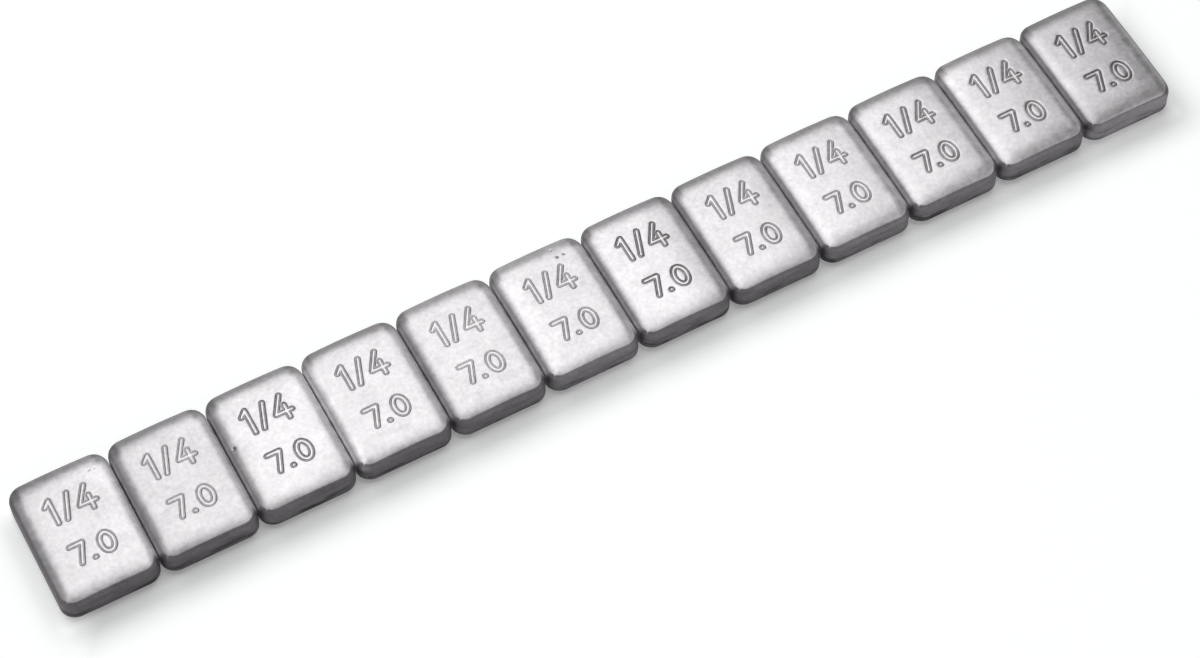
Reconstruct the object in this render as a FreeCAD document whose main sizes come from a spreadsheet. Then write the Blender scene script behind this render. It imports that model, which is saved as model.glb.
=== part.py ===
import FreeCAD, Part
import math
import os

import Sketcher

# A strip of stick-on wheel balance weights, in millimetres.
#
# Twelve coined steel segments, each a quarter of an ounce, lie butted end to end on one length of
# double-sided foam tape. A release liner covers the underside of the tape until the strip is used.
# Each segment is a flat-bottomed block with rounded corners in plan, and its top edge rolls over
# into the upright walls all the way round, like a small pillow.
#
# The strip runs along X and its width is along Y. The origin is under the middle of the strip, on
# the liner's underside, so Z is the height above the surface that the strip lies on.

# The driving dimensions. Each name is the alias of a cell of the sheet.
SIZES = {
    "segment_count": 12,
    "segment_length": 13.1,
    "segment_width": 18.7,
    "segment_height": 3.9,
    "corner_radius": 2.1,
    "edge_radius": 1.6,
    "butt_gap": 0.1,
    # how far the tape and its liner stay back from the metal's edges
    "tape_side_inset": 2.4,
    "tape_end_inset": 1.2,
    "tape_thickness": 1.0,
    "liner_thickness": 0.1,
}

SHEET = "Sizes"
OUTPUT_FOLDER = "parts"
# two levels nearer than this, in millimetres, are the same level
LEVEL_TOLERANCE = 1e-6

# what a sketch constraint calls the ends and the centre of a line or an arc
START, END, CENTRE = 1, 2, 3
SKETCH_ORIGIN = (-1, 1)


def cell(name):
    """The expression that reads one driving dimension."""
    return f"{SHEET}.{name}"


PITCH = f"({cell('segment_length')} + {cell('butt_gap')})"
STRIP_LENGTH = f"({PITCH} * {cell('segment_count')} - {cell('butt_gap')})"
TAPE_LENGTH = f"({STRIP_LENGTH} - 2 * {cell('tape_end_inset')})"
TAPE_WIDTH = f"({cell('segment_width')} - 2 * {cell('tape_side_inset')})"
TAPE_TOP = f"({cell('liner_thickness')} + {cell('tape_thickness')})"


def make_sheet(doc):
    """Write the driving dimensions as plain numbers, one cell and one alias each."""
    sheet = doc.addObject("Spreadsheet::Sheet", SHEET)
    for row, (name, value) in enumerate(SIZES.items(), start=1):
        sheet.set(f"A{row}", name)
        sheet.set(f"B{row}", str(value))
        sheet.setAlias(f"B{row}", name)
    doc.recompute()
    return sheet


def add_sketch(body, name, role):
    """An empty sketch on one of the body's own origin planes, such as XY_Plane."""
    plane = next(item for item in body.Origin.OriginFeatures if item.Role == role)
    sketch = body.newObject("Sketcher::SketchObject", name)
    sketch.AttachmentSupport = [(plane, "")]
    sketch.MapMode = "FlatFace"
    return sketch


def add_dimension(sketch, name, constraint, expression):
    """Add a dimension to a sketch and tie it to the sheet."""
    index = sketch.addConstraint(constraint)
    sketch.renameConstraint(index, name)
    sketch.setExpression(f"Constraints.{name}", expression)


def draw_plan(body, sheet):
    """The segment from above: a rectangle with rounded corners, centred on the origin."""
    sketch = add_sketch(body, "Plan", "XY_Plane")
    radius = sheet.corner_radius
    half_length = sheet.segment_length / 2
    half_width = sheet.segment_width / 2
    centre_x = half_length - radius
    centre_y = half_width - radius
    quarter = math.pi / 2

    def line(x1, y1, x2, y2):
        ends = (FreeCAD.Vector(x1, y1, 0), FreeCAD.Vector(x2, y2, 0))
        return sketch.addGeometry(Part.LineSegment(*ends))

    def corner(x, y, start):
        circle = Part.Circle(FreeCAD.Vector(x, y, 0), FreeCAD.Vector(0, 0, 1), radius)
        return sketch.addGeometry(Part.ArcOfCircle(circle, start, start + quarter))

    # anticlockwise, from the near side
    near = line(-centre_x, -half_width, centre_x, -half_width)
    near_right = corner(centre_x, -centre_y, -quarter)
    right = line(half_length, -centre_y, half_length, centre_y)
    far_right = corner(centre_x, centre_y, 0)
    far = line(centre_x, half_width, -centre_x, half_width)
    far_left = corner(-centre_x, centre_y, quarter)
    left = line(-half_length, centre_y, -half_length, -centre_y)
    near_left = corner(-centre_x, -centre_y, 2 * quarter)

    ring = [near, near_right, right, far_right, far, far_left, left, near_left]
    for current, following in zip(ring, ring[1:] + ring[:1]):
        sketch.addConstraint(Sketcher.Constraint("Tangent", current, END, following, START))
    sketch.addConstraint(Sketcher.Constraint("Horizontal", near))
    sketch.addConstraint(Sketcher.Constraint("Vertical", right))
    for other in (far_right, far_left, near_left):
        sketch.addConstraint(Sketcher.Constraint("Equal", near_right, other))
    middle = Sketcher.Constraint(
        "Symmetric", near_left, CENTRE, far_right, CENTRE, *SKETCH_ORIGIN
    )
    sketch.addConstraint(middle)

    add_dimension(
        sketch,
        "corner",
        Sketcher.Constraint("Radius", near_right, radius),
        cell("corner_radius"),
    )
    add_dimension(
        sketch,
        "along",
        Sketcher.Constraint("DistanceX", near_left, CENTRE, near_right, CENTRE, 2 * centre_x),
        f"{cell('segment_length')} - 2 * {cell('corner_radius')}",
    )
    add_dimension(
        sketch,
        "across",
        Sketcher.Constraint("DistanceY", near_right, CENTRE, far_right, CENTRE, 2 * centre_y),
        f"{cell('segment_width')} - 2 * {cell('corner_radius')}",
    )
    return sketch


def edges_at_level(shape, level):
    """The names of the edges that lie flat at one height."""
    names = []
    for number, edge in enumerate(shape.Edges, start=1):
        box = edge.BoundBox
        if max(abs(box.ZMin - level), abs(box.ZMax - level)) < LEVEL_TOLERANCE:
            names.append(f"Edge{number}")
    return names


def make_segment(doc, sheet, number):
    """One coined steel weight, set in its place along the strip."""
    body = doc.addObject("PartDesign::Body", f"Segment{number:02d}")
    body.Label = f"segment_{number:02d}"

    block = body.newObject("PartDesign::Pad", "Block")
    block.Profile = draw_plan(body, sheet)
    block.setExpression("Length", cell("segment_height"))
    doc.recompute()

    roll = body.newObject("PartDesign::Fillet", "TopRoll")
    roll.Base = (block, edges_at_level(block.Shape, sheet.segment_height))
    roll.setExpression("Radius", cell("edge_radius"))

    # the middle of the row of segments lies over the origin
    steps = f"({number} - ({cell('segment_count')} + 1) / 2)"
    body.setExpression("Placement.Base.x", f"{PITCH} * {steps}")
    body.setExpression("Placement.Base.z", TAPE_TOP)
    return body


def make_strip_layer(doc, name, label, thickness, bottom):
    """A flat band that runs under all the segments, centred on the strip."""
    layer = doc.addObject("Part::Box", name)
    layer.Label = label
    layer.setExpression("Length", TAPE_LENGTH)
    layer.setExpression("Width", TAPE_WIDTH)
    layer.setExpression("Height", thickness)
    layer.setExpression("Placement.Base.x", f"-{TAPE_LENGTH} / 2")
    layer.setExpression("Placement.Base.y", f"-{TAPE_WIDTH} / 2")
    layer.setExpression("Placement.Base.z", bottom)
    return layer


def check_objects(doc, pieces):
    """Stop if any object failed to compute or any piece isn't one sound solid."""
    for item in doc.Objects:
        if "Invalid" in item.State or "Error" in item.State:
            raise RuntimeError(f"{item.Label} did not compute: {item.State}")
    for piece in pieces:
        shape = piece.Shape
        if shape.isNull() or not shape.isValid() or len(shape.Solids) != 1:
            raise RuntimeError(f"{piece.Label} is not one sound solid")


def main():
    doc = FreeCAD.newDocument("BalanceWeightStrip")
    sheet = make_sheet(doc)

    liner = make_strip_layer(
        doc, "Liner", "release_liner", thickness=cell("liner_thickness"), bottom="0"
    )
    tape = make_strip_layer(
        doc,
        "Tape",
        "foam_tape",
        thickness=cell("tape_thickness"),
        bottom=cell("liner_thickness"),
    )
    numbers = range(1, int(sheet.segment_count) + 1)
    segments = [make_segment(doc, sheet, number) for number in numbers]
    doc.recompute()

    pieces = segments + [tape, liner]
    check_objects(doc, pieces)
    os.makedirs(OUTPUT_FOLDER, exist_ok=True)
    for piece in pieces:
        piece.Shape.exportStep(os.path.join(OUTPUT_FOLDER, f"{piece.Label}.step"))
        print(f"{piece.Label}: {piece.Shape.Volume:.2f} cubic millimetres")


main()
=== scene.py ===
"""Looks of a strip of stick-on wheel balance weights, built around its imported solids.

Twelve coined steel segments lie end to end on a length of foam tape with a release liner. Each
segment gets a finely modelled pillow top with its mass struck into it, the tape gets its foam, and
the liner its paper. A small studio with a white floor shows the strip from above.

Left and right are the strip's two ends, as its figures are read, and near and far its two sides.
"""

import logging
import math
from collections.abc import Iterator, Mapping
from dataclasses import dataclass
from enum import Enum
from functools import cached_property
from typing import Any

import bpy
import numpy as np
from mathutils import Matrix, Vector
from mathutils.geometry import delaunay_2d_cdt


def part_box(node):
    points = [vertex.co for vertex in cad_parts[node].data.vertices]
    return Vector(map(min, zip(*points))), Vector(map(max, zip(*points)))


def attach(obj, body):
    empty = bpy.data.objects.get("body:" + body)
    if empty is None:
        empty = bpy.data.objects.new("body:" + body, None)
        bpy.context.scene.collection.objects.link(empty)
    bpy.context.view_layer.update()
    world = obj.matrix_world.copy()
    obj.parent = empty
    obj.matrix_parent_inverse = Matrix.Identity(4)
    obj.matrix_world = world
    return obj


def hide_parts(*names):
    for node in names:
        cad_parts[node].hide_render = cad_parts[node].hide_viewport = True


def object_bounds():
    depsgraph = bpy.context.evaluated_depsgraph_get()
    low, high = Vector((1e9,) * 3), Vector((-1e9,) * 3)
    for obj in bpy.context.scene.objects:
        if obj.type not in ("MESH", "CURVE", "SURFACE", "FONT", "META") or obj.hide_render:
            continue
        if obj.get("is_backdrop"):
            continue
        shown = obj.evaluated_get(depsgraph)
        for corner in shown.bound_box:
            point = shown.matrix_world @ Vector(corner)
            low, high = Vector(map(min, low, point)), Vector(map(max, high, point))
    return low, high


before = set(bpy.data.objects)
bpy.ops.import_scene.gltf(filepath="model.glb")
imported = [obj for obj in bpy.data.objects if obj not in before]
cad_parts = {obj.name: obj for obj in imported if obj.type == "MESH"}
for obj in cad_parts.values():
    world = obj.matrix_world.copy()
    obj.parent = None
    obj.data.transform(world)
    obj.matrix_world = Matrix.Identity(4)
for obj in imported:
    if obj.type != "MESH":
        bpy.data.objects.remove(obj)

CAD_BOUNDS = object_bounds()
BODY = "root"

# one millimetre in the scene's metres
MM = 0.001
HALF_TURN = math.pi
QUARTER_TURN = math.pi / 2
EIGHTH_TURN = math.pi / 4

log = logging.getLogger("balance_weights")

Point = tuple[float, float]
Place = tuple[float, float, float]
Colour = tuple[float, float, float]
# where a smooth change starts and where it is whole
Limits = tuple[float, float]

# half the strip's length and width, in millimetres
HALF_LENGTH, HALF_WIDTH = (float(value) / MM for value in CAD_BOUNDS[1][:2])


class Slot(Enum):
    """The record's material slots."""

    STEEL = "plated_steel"


# shader graphs


class Wire:
    """A number that varies over a surface: one output socket, on which arithmetic adds nodes."""

    def __init__(self, graph: "Graph", socket: bpy.types.NodeSocket) -> None:
        """Wrap an output socket of a graph."""
        self.graph = graph
        self.socket = socket

    def math(self, operation: str, *operands: "Wire | float") -> "Wire":
        """Add a Math node.

        Args:
            operation: Blender's name of the operation, such as MULTIPLY.
            operands: Every operand, in order.

        Returns:
            The result's wire.
        """
        sockets = dict(enumerate(operands))
        return self.graph.node("ShaderNodeMath", {"operation": operation}, sockets)

    def __add__(self, other: "Wire | float") -> "Wire":
        """Sum."""
        return self.math("ADD", self, other)

    def __radd__(self, other: "Wire | float") -> "Wire":
        """Sum, with the number on the left."""
        return self.math("ADD", other, self)

    def __sub__(self, other: "Wire | float") -> "Wire":
        """Difference."""
        return self.math("SUBTRACT", self, other)

    def __rsub__(self, other: "Wire | float") -> "Wire":
        """Difference, with the number on the left."""
        return self.math("SUBTRACT", other, self)

    def __mul__(self, other: "Wire | float") -> "Wire":
        """Product."""
        return self.math("MULTIPLY", self, other)

    def __rmul__(self, other: "Wire | float") -> "Wire":
        """Product, with the number on the left."""
        return self.math("MULTIPLY", other, self)

    def __pow__(self, other: "Wire | float") -> "Wire":
        """Power."""
        return self.math("POWER", self, other)

    def __neg__(self) -> "Wire":
        """The same size with the other sign."""
        return self.math("MULTIPLY", self, -1.0)

    def __abs__(self) -> "Wire":
        """Size without the sign."""
        return self.math("ABSOLUTE", self)

    def at_least(self, other: "Wire | float") -> "Wire":
        """The greater of the two."""
        return self.math("MAXIMUM", self, other)

    def step(self, low: float, high: float) -> "Wire":
        """A smooth step.

        Args:
            low: The value at and below which the step is 0.
            high: The value at and above which the step is 1.

        Returns:
            The step's wire.
        """
        settings = {"interpolation_type": "SMOOTHSTEP"}
        sockets = {"Value": self, "From Min": low, "From Max": high}
        return self.graph.node("ShaderNodeMapRange", settings, sockets)


@dataclass(frozen=True)
class Mottle:
    """Smooth noise over a surface, with so many features to a millimetre."""

    per_mm: float
    # how many finer layers are added, and how strong each of them is beside the last
    detail: float = 2.0
    roughness: float = 0.55
    # how much closer together the features are along each axis
    squeeze: Place = (1.0, 1.0, 1.0)


class Graph:
    """The node tree of one material or of the world."""

    def __init__(self, tree: bpy.types.NodeTree) -> None:
        """Start from an empty tree."""
        self.tree = tree
        tree.nodes.clear()

    def node(
        self,
        kind: str,
        settings: Mapping[str, Any] | None = None,
        sockets: Mapping[str | int, Any] | None = None,
        output: str | int = 0,
    ) -> Wire | None:
        """Add one node.

        Args:
            kind: Blender's name of the node's type.
            settings: The node's own settings, made before its sockets are filled.
            sockets: A wire or a value for each input, by its name or its place.
            output: The name or the place of the output that is wanted.

        Returns:
            The output's wire, or nothing for a node that ends the tree.
        """
        added = self.tree.nodes.new(kind)
        for name, value in (settings or {}).items():
            setattr(added, name, value)
        for key, value in (sockets or {}).items():
            if isinstance(value, Wire):
                self.tree.links.new(value.socket, added.inputs[key])
            else:
                added.inputs[key].default_value = value
        return Wire(self, added.outputs[output]) if added.outputs else None

    @cached_property
    def place(self) -> Wire:
        """Where a point of the piece lies in the row frame, in millimetres."""
        metres = self.node("ShaderNodeTexCoord", output="Object")
        return self.scaled(metres, (1 / MM, 1 / MM, 1 / MM))

    @cached_property
    def normal(self) -> Wire:
        """The direction that the surface faces."""
        return self.node("ShaderNodeNewGeometry", output="Normal")

    def scaled(self, vector: Wire, factors: Place) -> Wire:
        """A vector with each component multiplied by its own number."""
        return self.node("ShaderNodeVectorMath", {"operation": "MULTIPLY"}, {0: vector, 1: factors})

    def part(self, vector: Wire, axis: str) -> Wire:
        """One component of a vector, X, Y or Z."""
        return self.node("ShaderNodeSeparateXYZ", sockets={0: vector}, output=axis)

    def shown(self) -> Wire:
        """Tell what is seen or mirrored from what only gives light.

        Returns:
            The wire of 1 where it is seen or mirrored, or else 0.
        """
        rays = ("Is Camera Ray", "Is Glossy Ray", "Is Transmission Ray")
        seen, glossy, transmitted = (self.node("ShaderNodeLightPath", output=ray) for ray in rays)
        return seen + glossy + transmitted

    def noise(self, mottle: Mottle) -> Wire:
        """Smooth noise about one half.

        Args:
            mottle: What the noise is like.

        Returns:
            The noise's wire, from 0 to 1.
        """
        sockets = {
            "Vector": self.scaled(self.place, mottle.squeeze),
            "Scale": mottle.per_mm,
            "Detail": mottle.detail,
            "Roughness": mottle.roughness,
        }
        return self.node("ShaderNodeTexNoise", sockets=sockets, output="Fac")

    def blend(self, share: Wire | float, first: Any, second: Any) -> Wire:
        """A colour between two others.

        Args:
            share: How much of the second colour is in it.
            first: A colour or its wire.
            second: A colour or its wire.

        Returns:
            The colour's wire.
        """
        settings = {"data_type": "RGBA"}
        sockets = {0: share, 6: opaque(first), 7: opaque(second)}
        return self.node("ShaderNodeMix", settings, sockets, output=2)

    def shaded(self, colour: Wire, factor: Wire) -> Wire:
        """A colour made darker or paler by a number.

        Args:
            colour: The colour's wire.
            factor: The number's wire.

        Returns:
            The new colour's wire.
        """
        grey = self.node("ShaderNodeCombineXYZ", sockets={0: factor, 1: factor, 2: factor})
        settings = {"operation": "MULTIPLY"}
        return self.node("ShaderNodeVectorMath", settings, {0: colour, 1: grey})

    def bump(self, height: Wire, depth: float) -> Wire:
        """A normal that tilts with a height from 0 to 1, where 1 is the depth in metres."""
        return self.node("ShaderNodeBump", sockets={"Height": height, "Distance": depth})

    def surface(self, sockets: Mapping[str | int, Any]) -> None:
        """Finish the tree with a Principled shader that has these sockets."""
        shader = self.node("ShaderNodeBsdfPrincipled", sockets=sockets)
        self.node("ShaderNodeOutputMaterial", sockets={"Surface": shader})


def opaque(colour: Any) -> Any:
    """A colour with an alpha of 1 for a socket that wants four numbers, or its wire as it is."""
    return colour if isinstance(colour, Wire) else (*colour, 1.0)


def new_material(name: str) -> tuple[bpy.types.Material, Graph]:
    """Make an empty material.

    Args:
        name: The material's name.

    Returns:
        The material and its graph.
    """
    material = bpy.data.materials.new(name)
    material.use_nodes = True
    return material, Graph(material.node_tree)


# finishes

# the name of the points' attribute that says how much darker the metal is painted: its wear and tone,
# with painted light and shade
WEAR_AND_SHADE = "painted_light_and_wear"


@dataclass(frozen=True)
class PlatedSteel:
    """Satin plated steel: burnished where it lies flat, duller on its flanks, darker on its sheared
    walls, which is partly painted shade, with painted shade and painted highlights on its rolls.

    Limits are those of a component of the surface's normal, if not said otherwise.
    """

    burnished: Colour = (0.505, 0.491, 0.503)
    flank: Colour = (0.545, 0.526, 0.544)
    # the walls' dark colour: partly their sheared finish, partly painted shade
    sheared_and_shaded: Colour = (0.152, 0.142, 0.151)
    torn: Colour = (0.055, 0.050, 0.055)
    smooth_roughness: float = 0.395
    wall_roughness: float = 0.55
    flat: Limits = (0.70, 0.985)

    # what takes the dark colour of the sheared walls, which is partly their sheared finish and partly
    # painted shade: the long walls, the rounded corners where they stand upright, the strip's two ends
    # from so many millimetres inside them, and, as painted shade alone, the lip over the near wall
    long_wall: Limits = (0.60, 0.78)
    corner_wall: Limits = (0.15, 0.45)
    lying: Limits = (0.10, 0.40)
    strip_end: Limits = (1.35, 0.55)
    strip_end_lying: Limits = (0.62, 0.90)
    near_lip: Limits = (0.12, 0.40)
    near_lip_slope: Limits = (0.47, 0.63)

    # painted shade on the far and left rolls, at the far corners and at the near right corner, and a
    # painted highlight on the lips that face the next segment at the seams, and by how much: a corner's
    # limits are those across the strip and those along it
    far_roll: Limits = (0.17, 0.41)
    left_roll: Limits = (0.35, 0.65)
    roll_loss: float = 0.46
    far_corner: tuple[Limits, Limits] = ((0.02, 0.20), (0.04, 0.24))
    far_corner_loss: float = 0.47
    near_corner: tuple[Limits, Limits] = ((0.04, 0.25), (0.30, 0.60))
    near_corner_loss: float = 0.26
    seam: Limits = (0.68, 0.90)
    seam_gain: float = 0.45

    # the sheared walls' streaks, torn low down where they are strongest, and the painted shade at the
    # walls' foot, with heights in millimetres
    streak: Mottle = Mottle(1.0, detail=3, squeeze=(0.28, 0.28, 1.5))
    torn_streak: Limits = (0.50, 0.64)
    torn_height: Limits = (1.6, 3.2)
    streak_level: float = 1.36
    streak_depth: float = 0.72
    foot_height: Limits = (1.0, 2.3)
    painted_foot_shade: float = 0.35

    # the mottling of all the metal, and how much of it there is in the colour and the roughness
    grain: Mottle = Mottle(1.8, detail=4, roughness=0.62)
    cloud: Mottle = Mottle(0.5, detail=3)
    batch: Mottle = Mottle(0.06)
    level: float = 0.32
    grain_share: float = 0.62
    cloud_share: float = 0.55
    batch_share: float = 0.20
    grain_roughness: float = 0.10
    cloud_roughness: float = 0.16
    cloud_height: float = 2.5
    mottle_depth: float = 0.012 * MM
    # how strongly the points' wear, tone and painted light and shade darken the colour
    wear_and_shade_loss: float = 0.4

    def shear_and_shade(self, graph: Graph) -> Wire:
        """How much of the sheared walls' dark colour each point has. That colour is partly their finish
        and partly painted shade.

        Args:
            graph: The material's graph.

        Returns:
            The share's wire, from 0 to 1.
        """
        farward = graph.part(graph.normal, "Y")
        upward = graph.part(graph.normal, "Z")
        across = abs(farward)
        long_walls = across.step(*self.long_wall)
        corners = (1 - upward.step(*self.lying)) * across.step(*self.corner_wall)
        aside = abs(graph.part(graph.place, "X"))
        at_end = aside.step(*(HALF_LENGTH - inside for inside in self.strip_end))
        ends = at_end * (1 - upward.step(*self.strip_end_lying))
        slope = (1 - upward**2) ** 0.5
        # painted shade: only the lip over the near wall takes the walls' dark colour
        near_lip = slope.step(*self.near_lip_slope) * (-farward).step(*self.near_lip)
        return long_walls.at_least(corners).at_least(ends).at_least(near_lip)

    def painted_roll_light(self, graph: Graph) -> Wire:
        """The painted shade and painted highlights on the rolls of the top edge, beside the flanks.

        Args:
            graph: The material's graph.

        Returns:
            The factor's wire.
        """
        rightward = graph.part(graph.normal, "X")
        farward = graph.part(graph.normal, "Y")
        sideways = abs(rightward)
        dark_rolls = farward.step(*self.far_roll).at_least((-rightward).step(*self.left_roll))
        across, along = self.far_corner
        far_corner = farward.step(*across) * sideways.step(*along)
        across, along = self.near_corner
        near_corner = (-farward).step(*across) * rightward.step(*along)
        corners = far_corner * self.far_corner_loss + near_corner * self.near_corner_loss
        # painted shade on the far and left rolls and the corners, painted highlight on the lips at the
        # seams
        return (1 - dark_rolls * self.roll_loss) * (1 + sideways.step(*self.seam) * self.seam_gain - corners)

    def wall(self, graph: Graph) -> Wire:
        """The colour of the sheared walls, partly painted shade, with painted shade at their foot.

        Args:
            graph: The material's graph.

        Returns:
            The colour's wire.
        """
        height = graph.part(graph.place, "Z")
        streak = graph.noise(self.streak)
        tears = streak.step(*self.torn_streak) * (1 - height.step(*self.torn_height))
        colour = graph.blend(tears, self.sheared_and_shaded, self.torn)
        colour = graph.shaded(colour, self.streak_level - streak * self.streak_depth)
        # painted shade: darker towards the foot of the wall
        return graph.shaded(colour, 1 - self.painted_foot_shade * (1 - height.step(*self.foot_height)))

    def material(self) -> bpy.types.Material:
        """Make the material.

        Returns:
            The material.
        """
        material, graph = new_material("plated_steel")
        flat = graph.part(graph.normal, "Z").step(*self.flat)
        grain = graph.noise(self.grain)
        cloud = graph.noise(self.cloud)
        batch = graph.noise(self.batch)
        wear_and_shade = graph.node("ShaderNodeAttribute", {"attribute_name": WEAR_AND_SHADE}, output="Fac")

        colour = graph.blend(flat, self.flank, self.burnished)
        colour = graph.shaded(colour, self.painted_roll_light(graph))
        colour = graph.blend(self.shear_and_shade(graph), colour, self.wall(graph))
        mottling = grain * self.grain_share + cloud * self.cloud_share + batch * self.batch_share
        colour = graph.shaded(colour, self.level + mottling)
        # wear and tone, with painted light and shade on walls, edges and trenches
        colour = graph.shaded(colour, 1 - wear_and_shade * self.wear_and_shade_loss)

        roughness = self.smooth_roughness + (1 - flat) * (self.wall_roughness - self.smooth_roughness)
        roughness = roughness + (cloud - 0.5) * self.cloud_roughness
        roughness = roughness + (grain - 0.5) * self.grain_roughness
        graph.surface(
            {
                "Base Color": colour,
                "Metallic": 1.0,
                "Roughness": roughness,
                "Normal": graph.bump(grain + cloud * self.cloud_height, self.mottle_depth),
            }
        )
        return material


@dataclass(frozen=True)
class ClosedCellFoam:
    """The tape's white foam, with fine closed cells on its cut sides."""

    colour: Colour = (0.80, 0.80, 0.78)
    cell_shade: Colour = (0.62, 0.62, 0.60)
    cells_per_mm: float = 5.0
    cell_wall: Limits = (0.1, 0.6)
    cell_depth: float = 0.05 * MM
    cloud: Mottle = Mottle(0.4)
    cloud_share: float = 0.4
    roughness: float = 0.82
    cloud_roughness: float = 0.1
    specular: float = 0.3

    def material(self) -> bpy.types.Material:
        """Make the material.

        Returns:
            The material.
        """
        material, graph = new_material("closed_cell_foam")
        sockets = {"Vector": graph.place, "Scale": self.cells_per_mm}
        cell = graph.node("ShaderNodeTexVoronoi", sockets=sockets, output="Distance")
        wall = cell.step(*self.cell_wall)
        cloud = graph.noise(self.cloud)
        paleness = wall * (1 - self.cloud_share + cloud * self.cloud_share)
        graph.surface(
            {
                "Base Color": graph.blend(paleness, self.cell_shade, self.colour),
                "Roughness": self.roughness + cloud * self.cloud_roughness,
                "Specular IOR Level": self.specular,
                "Normal": graph.bump(wall, self.cell_depth),
            }
        )
        return material


@dataclass(frozen=True)
class LinerPaper:
    """Siliconed release paper: pale, fibrous and with a faint sheen."""

    colour: Colour = (0.86, 0.85, 0.81)
    fibre_shade: Colour = (0.78, 0.77, 0.72)
    fibre: Mottle = Mottle(2.0, detail=4, squeeze=(0.5, 2.5, 1.0))
    fibre_edge: Limits = (0.35, 0.65)
    fibre_depth: float = 0.01 * MM
    cloud: Mottle = Mottle(0.15)
    cloud_share: float = 0.4
    roughness: float = 0.42
    fibre_roughness: float = 0.2

    def material(self) -> bpy.types.Material:
        """Make the material.

        Returns:
            The material.
        """
        material, graph = new_material("liner_paper")
        fibre = graph.noise(self.fibre)
        cloud = graph.noise(self.cloud)
        paleness = fibre.step(*self.fibre_edge) * (1 - self.cloud_share) + cloud * self.cloud_share
        graph.surface(
            {
                "Base Color": graph.blend(paleness, self.fibre_shade, self.colour),
                "Roughness": self.roughness + fibre * self.fibre_roughness,
                "Normal": graph.bump(fibre, self.fibre_depth),
            }
        )
        return material


@dataclass(frozen=True)
class PaleFloor:
    """The studio's plain floor, lifted to white where it is seen or mirrored. Limits are in mm."""

    # the point right under the lamp
    lamp_foot: Place
    colour: Colour = (0.948, 0.96, 0.962)
    roughness: float = 0.9
    # the lift under the lamp, and how much more there is where the lamp no longer reaches
    lift: float = 0.18
    further_lift: float = 0.59
    lamp_reach: Limits = (100.0, 550.0)
    # how far from the strip's outline its shadow lies without any lift and where the lift is whole, and
    # the same past the strip's far side and its left end, where the whole lift paints over the shadow
    # that falls there
    shadow: Limits = (0.0, 6.4)
    far_side: Limits = (-7.0, 1.0)
    left_end: Limits = (-5.0, 0.8)
    # a painted light right beside the strip, which makes its shadow paler there, and how far it reaches
    painted_contact_light: float = 0.12
    contact: Limits = (0.2, 1.9)

    def lifted(self, graph: Graph) -> Wire:
        """How much the floor is lifted at each point.

        Args:
            graph: The material's graph.

        Returns:
            The lift's wire.
        """
        rightward = graph.part(graph.place, "X")
        farward = graph.part(graph.place, "Y")
        sockets = {0: graph.place, 1: self.lamp_foot}
        from_foot = graph.node("ShaderNodeVectorMath", {"operation": "DISTANCE"}, sockets, "Value")
        lift = self.lift + from_foot.step(*self.lamp_reach) * self.further_lift

        aside_x = (abs(rightward) - HALF_LENGTH).at_least(0.0)
        aside_y = (abs(farward) - HALF_WIDTH).at_least(0.0)
        aside = (aside_x**2 + aside_y**2) ** 0.5
        lit = aside.step(*self.shadow)
        # past the far side and the left end the whole lift paints over the strip's shadow
        lit = lit.at_least(farward.step(*(HALF_WIDTH + past for past in self.far_side)))
        lit = lit.at_least((-rightward).step(*(HALF_LENGTH + past for past in self.left_end)))
        # painted light: the contact lift makes the shadow paler right beside the strip
        return lift * lit + (1 - aside.step(*self.contact)) * self.painted_contact_light

    def material(self) -> bpy.types.Material:
        """Make the material.

        Returns:
            The material.
        """
        material, graph = new_material("pale_floor")
        graph.surface(
            {
                "Base Color": opaque(self.colour),
                "Roughness": self.roughness,
                "Specular IOR Level": 0.0,
                "Emission Color": graph.shown() * self.lifted(graph),
                "Emission Strength": 1.0,
            }
        )
        return material


# struck marks, in millimetres

# two places nearer than this are the same place
SAME_PLACE = 1e-4
# points of the mark nearer than this are thinned out
CLOSEST_POINTS = 0.03
# how far apart the points along a stroke are
ALONG_STROKE = 0.12
# the fewest steps round the end of a stroke
FEWEST_CAP_STEPS = 8
# how many points go round an oval, with the first one again at the end
OVAL_POINTS = 25


def oval(centre: Point, radii: Point) -> list[Point]:
    """Points along an oval.

    Args:
        centre: The oval's centre.
        radii: Its half width and half height.

    Returns:
        The points, in order.
    """
    angles = np.linspace(0.0, 2 * HALF_TURN, OVAL_POINTS)
    xs = centre[0] + radii[0] * np.cos(angles)
    ys = centre[1] + radii[1] * np.sin(angles)
    return list(zip(xs.tolist(), ys.tolist()))


class Figure(Enum):
    """The plain struck figures, each a few strokes, with its left foot near the origin.

    A stroke is a run of points, in units of the figure's height.
    """

    ONE = [[(0.0, 0.78), (0.21, 1.0), (0.21, 0.0)]]
    SLASH = [[(0.0, 0.0), (0.34, 1.0)]]
    FOUR = [[(0.42, 1.0), (0.0, 0.28), (0.62, 0.28)], [(0.42, 0.56), (0.42, 0.0)]]
    SEVEN = [[(0.0, 1.0), (0.62, 1.0), (0.24, 0.0)]]
    POINT = [[(0.0, 0.0), (0.02, 0.0)]]
    ZERO = [oval((0.31, 0.5), (0.31, 0.5))]


@dataclass(frozen=True)
class StruckFigure:
    """One figure on a segment's top, placed by its foot, in millimetres from the top's middle."""

    figure: Figure
    foot: Point
    height: float

    def runs(self) -> Iterator[tuple[np.ndarray, np.ndarray]]:
        """Take the figure's strokes apart.

        Yields:
            The two ends of each straight run.
        """
        for stroke in self.figure.value:
            points = np.array(self.foot) + self.height * np.array(stroke)
            yield from zip(points[:-1], points[1:])


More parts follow.
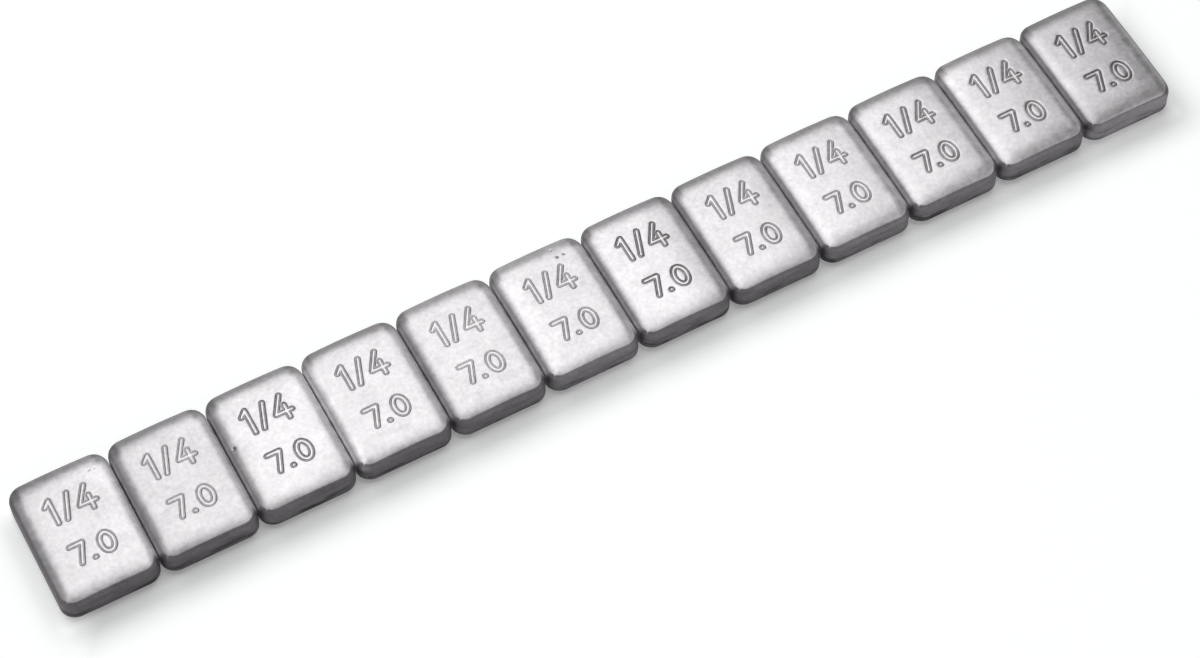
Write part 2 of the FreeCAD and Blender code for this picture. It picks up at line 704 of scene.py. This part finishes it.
# the segment's mass in two units: a quarter in the far row, and seven in the near row
MARK = (
    StruckFigure(Figure.ONE, (-3.05, 1.60), 3.5),
    StruckFigure(Figure.SLASH, (-1.10, 1.60), 3.5),
    StruckFigure(Figure.FOUR, (0.90, 1.60), 3.5),
    StruckFigure(Figure.SEVEN, (-2.60, -4.80), 2.7),
    StruckFigure(Figure.POINT, (-0.22, -4.78), 2.7),
    StruckFigure(Figure.ZERO, (1.00, -4.80), 2.7),
)


def from_strokes(x: np.ndarray, y: np.ndarray) -> np.ndarray:
    """How far each point lies from the nearest stroke of the mark.

    Args:
        x: The points' places along the strip, in millimetres from the top's middle.
        y: Their places across it.

    Returns:
        The distances, in millimetres.
    """
    nearest = np.full(x.shape, np.inf)
    for struck in MARK:
        for start, end in struck.runs():
            along = end - start
            reach = ((x - start[0]) * along[0] + (y - start[1]) * along[1]) / (along @ along)
            reach = np.clip(reach, 0.0, 1.0)
            aside_x = x - start[0] - reach * along[0]
            aside_y = y - start[1] - reach * along[1]
            nearest = np.minimum(nearest, np.hypot(aside_x, aside_y))
    return nearest


def capsule(start: np.ndarray, end: np.ndarray, away: float) -> np.ndarray:
    """Points all round a straight run at one distance.

    Args:
        start: The run's start.
        end: Its end.
        away: The distance, with which a 0 gives points on the run itself.

    Returns:
        The points, one in a row.
    """
    along = end - start
    length = np.hypot(*along)
    shares = np.linspace(0.0, 1.0, max(2, round(length / ALONG_STROKE) + 1))
    middle = start + np.outer(shares, along)
    if away == 0:
        return middle
    heading = math.atan2(along[1], along[0])
    aside = away * np.array([-math.sin(heading), math.cos(heading)])
    steps = max(FEWEST_CAP_STEPS, round(HALF_TURN * away / ALONG_STROKE))
    turned = np.linspace(heading - QUARTER_TURN, heading + QUARTER_TURN, steps + 1)
    cap = away * np.stack([np.cos(turned), np.sin(turned)], axis=-1)
    return np.concatenate([middle + aside, middle - aside, end + cap, start - cap])


@dataclass(frozen=True)
class Strike:
    """The cross-section of a struck stroke, in millimetres from its middle line.

    The stroke is a narrow ridge, flush with the top, left standing in a trench that is steep
    next to the ridge and eases up to the top on its outer side.
    """

    ridge: float = 0.11
    trench: float = 0.26
    half_width: float = 0.48
    depth: float = 0.14
    easing: float = 1.5
    # how much darker the middle of the ridge is painted, below 0 for its rubbed wear and painted
    # highlight, beside 1 for the painted shade in the trench
    rubbed_lit_ridge: float = -0.4
    inner_lines: int = 3
    outer_lines: int = 6

    def sunk(self, nearest: np.ndarray) -> np.ndarray:
        """How deep the mark goes.

        Args:
            nearest: The distances from the nearest stroke.

        Returns:
            The depths.
        """
        down = np.clip((nearest - self.ridge) / (self.trench - self.ridge), 0.0, 1.0)
        out = np.clip((self.half_width - nearest) / (self.half_width - self.trench), 0.0, 1.0)
        return self.depth * down * out**self.easing

    def wear_and_shade(self, nearest: np.ndarray) -> np.ndarray:
        """How much darker the metal is painted, from 1 for the painted shade in the trench to less than
        0 for the rubbed wear and painted highlight on the ridge.
        """
        edges = (0.0, self.ridge, self.trench, self.half_width)
        return np.interp(nearest, edges, (self.rubbed_lit_ridge, self.rubbed_lit_ridge / 2, 1.0, 0.0))

    def lines(self) -> np.ndarray:
        """Set the mesh's lines beside a stroke.

        Returns:
            The distances from it.
        """
        inner = np.linspace(self.ridge, self.trench, self.inner_lines)
        outer = np.linspace(self.trench, self.half_width, self.outer_lines)
        return np.concatenate([inner, outer[1:]])

    def points(self) -> np.ndarray:
        """Set points on every stroke and on the lines beside it, rid of those that coincide.

        Returns:
            The points, one in a row.
        """
        found = []
        for struck in MARK:
            for start, end in struck.runs():
                found.append(capsule(start, end, 0.0))
                for away in self.lines():
                    points = capsule(start, end, away)
                    clear = from_strokes(points[:, 0], points[:, 1]) > away - SAME_PLACE
                    found.append(points[clear])
        points = np.concatenate(found)
        _, kept = np.unique(np.round(points / CLOSEST_POINTS), axis=0, return_index=True)
        return points[np.sort(kept)]


# segments

# how many lines of points cross a pit each way
PIT_LINES = 17
# what delaunay_2d_cdt calls a mesh that fills the points' hull, and how near it merges points
WHOLE_HULL = 0
MERGED_BELOW = 1e-7


def grid_points(xs: np.ndarray, ys: np.ndarray) -> np.ndarray:
    """Every crossing of two sets of lines, one point in a row."""
    x, y = np.meshgrid(xs, ys)
    return np.stack([x.ravel(), y.ravel()], axis=-1)


@dataclass(frozen=True)
class Pillow:
    """How a segment's top rolls over into its walls, in millimetres.

    Next to the wall is a tight lip. From its inner end, where the surface still leans by
    lip_lean, a gentle shoulder eases up to the middle, which is very slightly domed.
    """

    corner_radius: float = 2.1
    lip_radius: float = 1.0
    lip_lean: float = math.radians(25)
    reach_along: float = 2.05
    reach_across: float = 3.4
    easing: float = 2.6
    dome_along: float = 0.28
    dome_across: float = 0.12
    lip_steps: int = 8

    @property
    def lip_reach(self) -> float:
        """How far the lip comes in from the wall."""
        return self.lip_radius * (1 - math.sin(self.lip_lean))

    def shoulder(self, inward: np.ndarray, reach: float) -> np.ndarray:
        """The drop of the shoulder, carried on to the wall.

        Args:
            inward: The distances from the wall.
            reach: Where the shoulder meets the middle.

        Returns:
            The drops below the middle.
        """
        span = reach - self.lip_reach
        share = np.clip(reach - inward, 0.0, None) / span
        return math.tan(self.lip_lean) * span / self.easing * share**self.easing

    def lip(self, inward: np.ndarray) -> np.ndarray:
        """How much further the lip drops than the shoulder.

        Args:
            inward: The distances from the wall.

        Returns:
            The further drops.
        """
        mean_reach = (self.reach_along + self.reach_across) / 2
        held = np.clip(inward, 0.0, self.lip_reach)
        arc = np.sqrt(self.lip_radius**2 - (self.lip_radius - held) ** 2)
        tight = self.lip_radius * math.cos(self.lip_lean) - arc
        at_join = self.shoulder(np.array(self.lip_reach), mean_reach)
        return tight - (self.shoulder(held, mean_reach) - at_join)

    def lip_lines(self) -> np.ndarray:
        """The distances from the wall of the grid lines on the lip, evenly spaced round it."""
        turned = np.linspace(0.0, QUARTER_TURN - self.lip_lean, self.lip_steps + 1)
        return self.lip_radius * (1 - np.cos(turned))


@dataclass(frozen=True)
class Pit:
    """A small pit in a segment's top, in millimetres from the top's middle."""

    place: Point
    radius: float
    depth: float

    @property
    def reach(self) -> float:
        """How far from its middle the pit still matters."""
        return 2 * self.radius

    def points(self) -> np.ndarray:
        """Set points over the pit, evenly spaced.

        Returns:
            The points, one in a row.
        """
        lines = np.linspace(-self.reach, self.reach, PIT_LINES)
        offsets = grid_points(lines, lines)
        return np.array(self.place) + offsets[np.hypot(offsets[:, 0], offsets[:, 1]) < self.reach]

    def away(self, x: np.ndarray, y: np.ndarray) -> np.ndarray:
        """How far each point lies from the pit's middle."""
        return np.hypot(x - self.place[0], y - self.place[1])

    def sunk(self, x: np.ndarray, y: np.ndarray) -> np.ndarray:
        """How deep the pit goes at each point."""
        return self.depth * np.exp(-((self.away(x, y) / self.radius) ** 2))


class Side(Enum):
    """The ways that an edge or a corner of a segment's top faces, along the strip and across it."""

    LEFT = (-1.0, 0.0)
    RIGHT = (1.0, 0.0)
    FAR = (0.0, 1.0)
    FAR_LEFT = (-0.7, 0.7)
    FAR_RIGHT = (0.7, 0.7)
    NEAR_LEFT = (-0.7, -0.7)
    NEAR_RIGHT = (0.7, -0.7)


@dataclass(frozen=True)
class PaintedEdgeLight:
    """An edge or a corner of a segment's top that is painted brighter, a painted highlight, for a gain
    above 0, and painted darker, painted shade, for a gain below 0.
    """

    side: Side
    gain: float
    # how far inside the outline it is whole and where it ends, in millimetres
    reach: Limits = (0.8, 1.6)

    def painted_darkening(self, plan: "TopPlan") -> np.ndarray:
        """How much darker it paints the points of a plan.

        Args:
            plan: The plan of the top.

        Returns:
            How much darker each point is painted, less than 0 where a highlight is painted.
        """
        along, across = self.side.value
        outmost = abs(along) * plan.half_length + abs(across) * plan.half_width
        inward = outmost - along * plan.x - across * plan.y
        return -self.gain * np.interp(inward, self.reach, (1.0, 0.0))


@dataclass(frozen=True)
class Character:
    """What sets one segment apart: its depth of strike beside 1, how much darker its top is, the
    painted light and shade on its walls and edges, and its pits.
    """

    strike: float = 1.0
    # how much darker the top is
    darker_top: float = 0.0
    # painted shade on the walls and the near lip, painted light where it is below 0
    painted_wall_shade: float = 0.0
    edges: tuple[PaintedEdgeLight, ...] = ()
    pits: tuple[Pit, ...] = ()


# by the segment's number from the strip's left end
CHARACTERS: dict[int, Character] = {
    1: Character(
        strike=0.75,
        painted_wall_shade=0.5,
        edges=(PaintedEdgeLight(Side.FAR_LEFT, -0.30, (1.5, 6.0)), PaintedEdgeLight(Side.FAR_RIGHT, 0.30, (2.0, 6.0))),
        pits=(Pit((3.9, 6.7), 0.14, 0.05), Pit((4.6, 6.65), 0.12, 0.04)),
    ),
    2: Character(
        strike=0.65,
        darker_top=0.16,
        painted_wall_shade=0.3,
        edges=(PaintedEdgeLight(Side.FAR_RIGHT, 0.30, (2.0, 6.0)),),
    ),
    3: Character(
        darker_top=-0.10,
        painted_wall_shade=0.2,
        edges=(PaintedEdgeLight(Side.NEAR_RIGHT, -0.40, (1.5, 6.0)),),
        pits=(Pit((-5.62, 0.95), 0.17, 0.22),),
    ),
    4: Character(strike=0.8, painted_wall_shade=0.4, edges=(PaintedEdgeLight(Side.LEFT, 1.6),)),
    5: Character(strike=0.65, edges=(PaintedEdgeLight(Side.FAR, 0.6),)),
    6: Character(
        strike=0.75,
        painted_wall_shade=-0.4,
        edges=(PaintedEdgeLight(Side.FAR, 0.9), PaintedEdgeLight(Side.LEFT, 0.35, (1.5, 4.5))),
        pits=(Pit((2.6, 6.5), 0.16, 0.14), Pit((3.55, 6.55), 0.15, 0.12), Pit((2.4, 7.9), 0.11, 0.08)),
    ),
    7: Character(
        strike=1.15,
        darker_top=-0.14,
        edges=(PaintedEdgeLight(Side.RIGHT, -0.62, (1.0, 5.0)), PaintedEdgeLight(Side.NEAR_LEFT, -0.15, (1.5, 6.0))),
    ),
    8: Character(strike=0.85, painted_wall_shade=0.2, edges=(PaintedEdgeLight(Side.RIGHT, -0.35, (1.0, 4.5)),)),
    9: Character(
        strike=0.8,
        darker_top=-0.05,
        painted_wall_shade=-0.3,
        edges=(PaintedEdgeLight(Side.FAR_LEFT, 0.25, (2.0, 6.0)),),
    ),
    10: Character(darker_top=-0.05, painted_wall_shade=-0.2, edges=(PaintedEdgeLight(Side.FAR_RIGHT, -0.50, (1.5, 6.0)),)),
    11: Character(painted_wall_shade=-0.4, edges=(PaintedEdgeLight(Side.FAR_LEFT, 0.35, (2.0, 6.0)),)),
    12: Character(
        strike=1.15,
        darker_top=0.24,
        painted_wall_shade=-1.7,
        edges=(PaintedEdgeLight(Side.RIGHT, -0.45, (1.0, 4.5)), PaintedEdgeLight(Side.NEAR_LEFT, -0.40, (1.5, 6.0))),
    ),
}


class TopPlan:
    """The mesh of a segment's top as seen from above, which all segments share.

    It is drawn on a flat rectangle, with fine points at the strokes and pits, and its corners
    are then bent round.
    """

    # how far apart the plain points are and how far they stay from the fine ones, in millimetres
    plain_spacing = 0.30
    plain_clearance = plain_spacing / 3

    def __init__(self, half_length: float, half_width: float, pillow: Pillow) -> None:
        """Draw the plan.

        Args:
            half_length: Half the segment's size along the strip, in millimetres.
            half_width: Half its size across the strip.
            pillow: How its edges roll over.
        """
        self.half_length = half_length
        self.half_width = half_width
        self.pillow = pillow
        flat = self.flat_points()
        self.triangles = self.triangulate(flat)
        self.from_wall = np.minimum(half_length - abs(flat[:, 0]), half_width - abs(flat[:, 1]))
        self.x, self.y, self.facing = self.rounded(flat[:, 0], flat[:, 1])
        self.nearest = from_strokes(self.x, self.y)

    def lines(self, half: float) -> np.ndarray:
        """Set the plain grid's lines across one direction.

        Args:
            half: How far the segment reaches each way in that direction.

        Returns:
            The lines' places from the middle.
        """
        lip = self.pillow.lip_lines()
        inner = half - lip[-1]
        count = 2 * round(inner / self.plain_spacing)
        middle = np.linspace(-inner, inner, count + 1)
        return np.concatenate([lip[:-1] - half, middle, (half - lip[:-1])[::-1]])

    def flat_points(self) -> np.ndarray:
        """Set the points on the rectangle, those of its outline first, anticlockwise.

        Returns:
            The points, one in a row.
        """
        xs = self.lines(self.half_length)
        ys = self.lines(self.half_width)
        near = grid_points(xs[:-1], ys[:1])
        right = grid_points(xs[-1:], ys[:-1])
        self.outline_count = 2 * (len(near) + len(right))
        outline = [near, right, -near, -right]

        plain = grid_points(xs[1:-1], ys[1:-1])
        x, y = plain[:, 0], plain[:, 1]
        beside = from_strokes(x, y) - Strike().half_width
        pits = [pit for character in CHARACTERS.values() for pit in character.pits]
        for pit in pits:
            beside = np.minimum(beside, pit.away(x, y) - pit.reach)
        plain = plain[beside > self.plain_clearance]
        return np.concatenate([*outline, plain, Strike().points(), *[pit.points() for pit in pits]])

    def triangulate(self, flat: np.ndarray) -> np.ndarray:
        """Join the points into triangles.

        Args:
            flat: The points on the rectangle.

        Returns:
            The triangles, as places in the list of points.
        """
        points = [Vector(point) for point in flat.tolist()]
        found = delaunay_2d_cdt(points, [], [], WHOLE_HULL, MERGED_BELOW, False)
        if len(found[0]) != len(flat):
            raise ValueError("two points of the plan coincide")
        return np.array(found[2])

    def rounded(self, flat_x: np.ndarray, flat_y: np.ndarray) -> tuple[np.ndarray, ...]:
        """Bend the square of the plan at each corner into the quarter disc of its round.

        Args:
            flat_x: The points' places along the strip on the rectangle.
            flat_y: Their places across it.

        Returns:
            Their places along and across on the rounded plan, and the directions that points on
            its outline face.
        """
        centre_x = self.half_length - self.pillow.corner_radius
        centre_y = self.half_width - self.pillow.corner_radius
        out_x = np.clip(abs(flat_x) - centre_x, 0.0, None)
        out_y = np.clip(abs(flat_y) - centre_y, 0.0, None)
        out = np.maximum(out_x, out_y)
        ratio = np.minimum(out_x, out_y) / np.where(out > 0, out, 1.0)
        angle = np.where(out_x >= out_y, EIGHTH_TURN * ratio, QUARTER_TURN - EIGHTH_TURN * ratio)
        away_x = np.sign(flat_x) * out * np.cos(angle)
        away_y = np.sign(flat_y) * out * np.sin(angle)
        x = np.clip(flat_x, -centre_x, centre_x) + away_x
        y = np.clip(flat_y, -centre_y, centre_y) + away_y
        return x, y, np.stack([away_x, away_y], axis=-1) / self.pillow.corner_radius


@dataclass
class Segment:
    """One coined weight of the strip, with its sizes in millimetres."""

    number: int
    plan: TopPlan
    finish: bpy.types.Material
    foot_radius: float = 0.12
    foot_steps: int = 3
    wall_steps: int = 4
    # how far inside the near wall the lip takes the wall's painted light and shade, and where that ends
    near_lip: Limits = (0.25, 0.7)

    def __post_init__(self) -> None:
        """Read the segment's place from its solid."""
        low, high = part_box(self.node)
        self.middle = (low + high) / 2 / MM
        self.bottom = low.z / MM
        self.top = high.z / MM
        self.character = CHARACTERS.get(self.number, Character())

    @property
    def node(self) -> str:
        """The name of the segment's solid."""
        return f"segment_{self.number:02d}"

    def top_points(self) -> np.ndarray:
        """Raise the plan's points to the top surface.

        Returns:
            The points, in millimetres, about the segment's middle.
        """
        plan = self.plan
        pillow = plan.pillow
        drop = pillow.shoulder(plan.half_length - abs(plan.x), pillow.reach_along)
        drop += pillow.shoulder(plan.half_width - abs(plan.y), pillow.reach_across)
        drop += pillow.lip(plan.from_wall)
        drop += pillow.dome_along * (plan.x / plan.half_length) ** 2
        drop += pillow.dome_across * (plan.y / plan.half_width) ** 2
        drop += Strike().sunk(plan.nearest) * self.character.strike
        for pit in self.character.pits:
            drop += pit.sunk(plan.x, plan.y)
        return np.stack([plan.x, plan.y, self.top - drop], axis=-1)

    def wall_rings(self, edge: np.ndarray, outward: np.ndarray) -> Iterator[np.ndarray]:
        """The rings of points down the wall and round its foot.

        Args:
            edge: The outline's points at the top of the wall.
            outward: The direction that each of them faces.

        Yields:
            Each ring, from the top down.
        """
        foot = self.bottom + self.foot_radius
        for share in np.linspace(0.0, 1.0, self.wall_steps + 1)[1:]:
            ring = edge.copy()
            ring[:, 2] += share * (foot - edge[:, 2])
            yield ring
        for turned in np.linspace(0.0, QUARTER_TURN, self.foot_steps + 1)[1:]:
            ring = edge.copy()
            ring[:, :2] -= outward * self.foot_radius * (1 - math.cos(turned))
            ring[:, 2] = foot - self.foot_radius * math.sin(turned)
            yield ring

    def wear_and_shade_per_point(self, wall_count: int) -> np.ndarray:
        """How much darker the metal is painted: wear and tone, with painted light and shade on the
        walls, the near lip, some edges and the trenches.

        Args:
            wall_count: How many points the walls and their foot have.

        Returns:
            That darkening at each point, those of the top first.
        """
        plan = self.plan
        character = self.character
        # the near lip takes the wall's painted light and shade
        lip = np.interp(plan.y + plan.half_width, self.near_lip, (1.0, 0.0))
        top = lip * character.painted_wall_shade + (1 - lip) * character.darker_top
        top += Strike().wear_and_shade(plan.nearest) * character.strike
        # painted highlights and painted shade at some edges and corners
        for edge in character.edges:
            top += edge.painted_darkening(plan)
        return np.concatenate([top, np.full(wall_count, character.painted_wall_shade)])

    def build(self) -> bpy.types.Object:
        """Make the segment's mesh, dress it and put it in its solid's place.

        Returns:
            The piece.
        """
        top = self.top_points()
        count = self.plan.outline_count
        rings = list(self.wall_rings(top[:count], self.plan.facing[:count]))

        faces = self.plan.triangles.tolist()
        upper = np.arange(count)
        for number in range(len(rings)):
            lower = len(top) + number * count + np.arange(count)
            walls = np.stack([upper, lower, np.roll(lower, -1), np.roll(upper, -1)], axis=-1)
            faces += walls.tolist()
            upper = lower
        faces.append(upper[::-1].tolist())

        points = np.concatenate([top, *rings])
        points[:, :2] += np.array(self.middle)[:2]
        name = f"{self.node}_coined"
        piece = add_piece(name, points * MM, faces, self.finish, Slot.STEEL, self.node)
        wear_and_shade = piece.data.attributes.new(WEAR_AND_SHADE, "FLOAT", "POINT")
        wear_and_shade.data.foreach_set("value", self.wear_and_shade_per_point(len(points) - len(top)))
        return piece


def add_piece(
    name: str,
    points: np.ndarray,
    faces: list[list[int]],
    finish: bpy.types.Material,
    slot: Slot,
    node: str,
) -> bpy.types.Object:
    """Make a smooth mesh that stands for a solid.

    Args:
        name: The piece's name.
        points: Its points, in metres.
        faces: Its faces, as places in the list of points.
        finish: Its material.
        slot: Not used.
        node: The solid that it replaces.

    Returns:
        The piece.
    """
    mesh = bpy.data.meshes.new(name)
    mesh.from_pydata(points.tolist(), [], faces)
    mesh.polygons.foreach_set("use_smooth", [True] * len(mesh.polygons))
    mesh.materials.append(finish)
    mesh.update()
    piece = bpy.data.objects.new(name, mesh)
    bpy.context.scene.collection.objects.link(piece)
    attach(piece, BODY)
    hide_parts(node)
    log.info("%s: %d points, %d faces", name, len(points), len(faces))
    return piece


# tape and liner


@dataclass(frozen=True)
class Layer:
    """A flat band under the segments, which stays in sight as its solid."""

    node: str
    finish: bpy.types.Material

    def dress(self) -> None:
        """Give the solid its material."""
        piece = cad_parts[self.node]
        piece.data.materials.clear()
        piece.data.materials.append(self.finish)
        log.info("%s keeps its solid and gets %s", self.node, self.finish.name)


# studio


@dataclass(frozen=True)
class Softbox:
    """A flat area lamp that hangs level over the strip, in metres."""

    place: Place = (0.028, 0.162, 0.30)
    size: tuple[float, float] = (0.37, 0.50)
    brightness: float = 1.80
    turn: float = -0.45

    @property
    def foot(self) -> Place:
        """The point right under the lamp at the strip's underside, in millimetres."""
        return self.place[0] / MM, self.place[1] / MM, 0.0

    def add(self) -> None:
        """Put the lamp in the scene."""
        lamp = bpy.data.lights.new("softbox", "AREA")
        lamp.shape = "RECTANGLE"
        lamp.size, lamp.size_y = self.size
        lamp.energy = self.brightness * math.pi * self.size[0] * self.size[1]
        holder = bpy.data.objects.new("softbox", lamp)
        holder.location = self.place
        holder.rotation_euler.z = self.turn
        bpy.context.scene.collection.objects.link(holder)
        log.info("softbox: %.2f W", lamp.energy)


@dataclass(frozen=True)
class Studio:
    """The white floor, the lamp, the room and the camera.

    Limits are those of a component of the direction that a point of the room lies in.
    """

    floor_side: float = 6.0
    # how far the floor lies under the strip
    floor_gap: float = 0.02 * MM
    # how bright the room is on the strip's near side and on its far side
    near: float = 0.28
    far: float = 0.26
    far_side: Limits = (-0.6, 0.6)
    # the white horizon that is seen and mirrored: where it fades upwards, and how much lower that
    # is on the near side
    horizon: Limits = (0.25, 0.55)
    near_side: Limits = (-0.7, -0.1)
    near_fall: float = 0.32
    # the camera's place in metres and the directions of the picture's right side and top
    camera_place: Place = (-0.10278, -0.20014, 0.35921)
    picture_right: Place = (0.88108, -0.47273, -0.01468)
    picture_up: Place = (0.40946, 0.74690, 0.52391)
    lens: float = 99.66
    nearest_seen: float = 0.01
    softbox: Softbox = Softbox()

    def build(self) -> None:
        """Set up everything around the strip."""
        self.add_floor()
        self.add_room()
        self.softbox.add()
        self.add_camera()
        bpy.context.scene.view_settings.view_transform = "Standard"

    def add_floor(self) -> None:
        """Lay the floor just under the strip."""
        half = self.floor_side / 2
        level = CAD_BOUNDS[0][2] - self.floor_gap
        corners = [(x * half, y * half, level) for x, y in ((-1, -1), (1, -1), (1, 1), (-1, 1))]
        mesh = bpy.data.meshes.new("studio_floor")
        mesh.from_pydata(corners, [], [(0, 1, 2, 3)])
        mesh.materials.append(PaleFloor(self.softbox.foot).material())
        floor = bpy.data.objects.new("studio_floor", mesh)
        bpy.context.scene.collection.objects.link(floor)
        floor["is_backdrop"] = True

    def add_room(self) -> None:
        """Fill the room with soft grey light, and with a white horizon where it is seen or mirrored."""
        world = bpy.data.worlds.new("studio_room")
        world.use_nodes = True
        graph = Graph(world.node_tree)
        direction = graph.node("ShaderNodeTexCoord", output="Generated")
        farward = graph.part(direction, "Y")
        level = self.near + farward.step(*self.far_side) * (self.far - self.near)
        nearness = 1 - farward.step(*self.near_side)
        height = graph.part(direction, "Z") - nearness * self.near_fall
        white = graph.shown() * (1 - height.step(*self.horizon))
        level = level + white * (1 - level)
        background = graph.node("ShaderNodeBackground", sockets={"Color": level, "Strength": 1.0})
        graph.node("ShaderNodeOutputWorld", sockets={"Surface": background})
        bpy.context.scene.world = world

    def add_camera(self) -> None:
        """Set the camera where the photograph was taken from."""
        camera = bpy.data.objects.new("camera", bpy.data.cameras.new("camera"))
        camera.data.lens = self.lens
        camera.data.clip_start = self.nearest_seen
        right = Vector(self.picture_right).normalized()
        back = right.cross(Vector(self.picture_up)).normalized()
        turned = Matrix((right, back.cross(right), back)).transposed()
        camera.matrix_world = Matrix.Translation(self.camera_place) @ turned.to_4x4()
        bpy.context.scene.collection.objects.link(camera)
        bpy.context.scene.camera = camera


def segment_numbers() -> range:
    """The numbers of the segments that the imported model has."""
    count = sum(name.startswith("segment_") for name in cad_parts)
    return range(1, count + 1)


def shared_plan() -> TopPlan:
    """Draw the plan of the first segment's top, which fits them all.

    Returns:
        The plan.
    """
    low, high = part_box("segment_01")
    half_length, half_width, _ = (high - low) / 2 / MM
    return TopPlan(half_length, half_width, Pillow())


def write_sizes() -> None:
    """List the solids' box and the dressed strip's box side by side, as plain numbers."""
    boxes = [CAD_BOUNDS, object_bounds()]
    plain = [[[float(value) for value in corner] for corner in box] for box in boxes]


def main() -> None:
    """Build the strip and its studio."""
    logging.basicConfig(level=logging.INFO, format="%(name)s: %(message)s")
    steel = PlatedSteel().material()
    plan = shared_plan()
    for number in segment_numbers():
        Segment(number, plan, steel).build()
    Layer("foam_tape", ClosedCellFoam().material()).dress()
    Layer("release_liner", LinerPaper().material()).dress()
    Studio().build()
    write_sizes()


if __name__ == "__main__":
    main()
